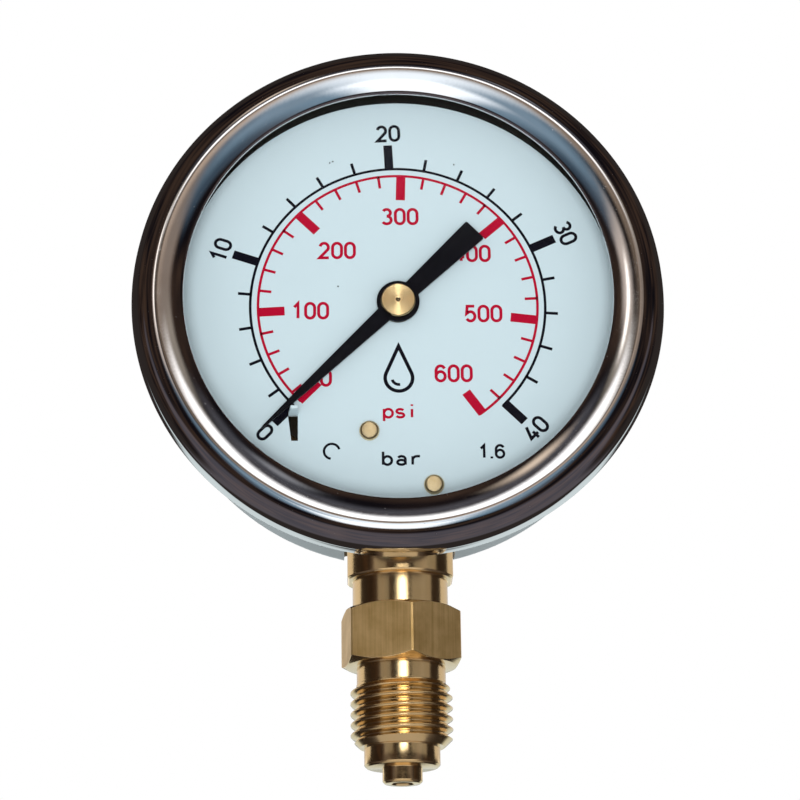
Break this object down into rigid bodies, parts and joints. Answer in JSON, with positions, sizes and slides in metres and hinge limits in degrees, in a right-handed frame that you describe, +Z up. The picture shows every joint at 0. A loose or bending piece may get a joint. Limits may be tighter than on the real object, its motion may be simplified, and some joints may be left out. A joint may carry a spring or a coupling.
{
  "type": "pressure gauge",
  "caption": "Round dial pressure gauge: steel case with a crimped bezel and window, a Bourdon tube that turns the pointer through a toothed movement, and a threaded brass stem below.",
  "frame": {"origin": "on the stem's axis, in the plane of the sealing face at the end of the thread pilot", "axes": "+Z up along the stem into the case, the dial faces -Y, +X to the dial's right"},
  "size_m": [0.068, 0.0255, 0.0943],
  "materials": {
    "case_steel": "fine satin drawn sheet",
    "bezel_steel": "mirror polished",
    "window_glass": "clear flat pane",
    "black_rubber": "matte moulded",
    "stem_brass": "turned, bright",
    "rivet_brass": "turned, bright",
    "movement_brass": "stamped and turned",
    "movement_steel": "ground",
    "screw_steel": "zinc plated",
    "dial_white": "satin enamel on aluminium sheet",
    "pointer_black": "matte black",
    "tube_bronze": "drawn and soldered",
    "spring_bronze": "rolled strip"
  },
  "bodies": {
    "case_and_tube": {"case": "case_steel", "bezel_ring": "bezel_steel", "window": "window_glass", "window_gasket": "black_rubber", "blow_out_plug": "black_rubber", "stem": "stem_brass", "stem_seal": "black_rubber", "case_screws": "screw_steel", "dial": "dial_white", "dial_rivets": "rivet_brass", "movement_front_plate": "movement_brass", "movement_back_plate": "movement_brass", "movement_pillars": "movement_brass", "movement_plate_screws": "screw_steel", "movement_mounting_screws": "screw_steel", "bourdon_tube": "tube_bronze", "hairspring": "spring_bronze", "hairspring_stud": "movement_brass"},
    "pointer": {"pointer": "pointer_black", "pointer_hub": "rivet_brass", "pinion_shaft": "movement_steel", "hairspring_collet": "movement_brass"},
    "sector": {"sector_gear": "movement_brass", "sector_arbor": "movement_steel", "sector_link_pin": "movement_brass"},
    "tube_tip": {"tube_end_piece": "movement_brass", "tip_link_pin": "movement_brass"},
    "link": {"link": "movement_brass"}
  },
  "joints": [
    {"name": "sector_swing", "type": "hinge", "parent": "case_and_tube", "child": "sector", "pos_m": [0.01329, -0.0023, 0.05596], "axis": [0, -1, 0], "range_deg": [0, 34.8]},
    {"name": "pointer_spin", "type": "hinge", "parent": "case_and_tube", "child": "pointer", "pos_m": [0, -0.0085, 0.0583], "axis": [0, 1, 0], "range_deg": [0, 278.4], "deforming": ["hairspring"]},
    {"name": "tube_tip_travel", "type": "slide", "parent": "case_and_tube", "child": "tube_tip", "axis": [0.6428, 0, 0.766], "range_m": [0, 0.00287], "stiffness_N_per_m": 2200, "deforming": ["bourdon_tube"]},
    {"name": "link_swing", "type": "hinge", "parent": "tube_tip", "child": "link", "pos_m": [0.0154, -0.0015, 0.04538], "axis": [0, -1, 0], "range_deg": [0, 8.49]}
  ],
  "couplings": [
    {"joint": "sector_swing", "follows": "tube_tip_travel", "rad_per_m": 211.85},
    {"joint": "pointer_spin", "follows": "tube_tip_travel", "rad_per_m": 1694.8},
    {"joint": "link_swing", "follows": "tube_tip_travel", "rad_per_m": 51.684}
  ]
}
